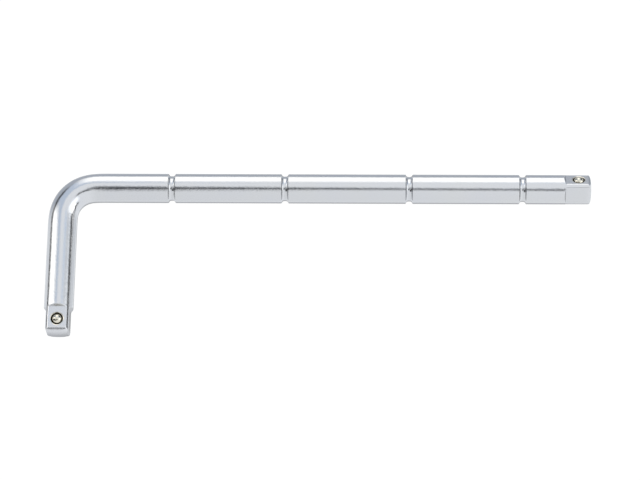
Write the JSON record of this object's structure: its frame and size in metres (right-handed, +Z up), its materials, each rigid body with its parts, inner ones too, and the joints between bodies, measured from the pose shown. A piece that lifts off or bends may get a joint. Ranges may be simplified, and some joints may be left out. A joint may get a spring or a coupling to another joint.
{
  "type": "l-shaped breaker bar",
  "caption": "Round chromed steel bar bent to an L, with grip grooves along its long arm and a male drive square with a sprung detent ball on each end.",
  "frame": {"origin": "middle of the short arm's domed end, on that arm's axis", "axes": "the tool lies flat: +X along the long arm to its square, -Y out of the short arm's end, +Z up out of the short square's ball flat"},
  "size_m": [0.297, 0.093, 0.016],
  "materials": {
    "satin_chrome": "satin chrome plate over forged alloy steel",
    "ball_steel": "polished, unplated bearing steel",
    "spring_steel": "drawn spring wire"
  },
  "bodies": {
    "handle": {"bar": "satin_chrome", "short_end_spring": "spring_steel", "long_end_spring": "spring_steel"},
    "short_ball": {"short_end_ball": "ball_steel"},
    "long_ball": {"long_end_ball": "ball_steel"}
  },
  "joints": [
    {"name": "short_ball_press", "type": "slide", "parent": "handle", "child": "short_ball", "axis": [0, 0, 1], "range_m": [-0.0014, 0], "stiffness_N_per_m": 5700, "springref_m": 0.001, "deforming": ["short_end_spring"]},
    {"name": "long_ball_press", "type": "slide", "parent": "handle", "child": "long_ball", "axis": [0, 0.6157, 0.788], "range_m": [-0.0014, 0], "stiffness_N_per_m": 5700, "springref_m": 0.001, "deforming": ["long_end_spring"]}
  ]
}
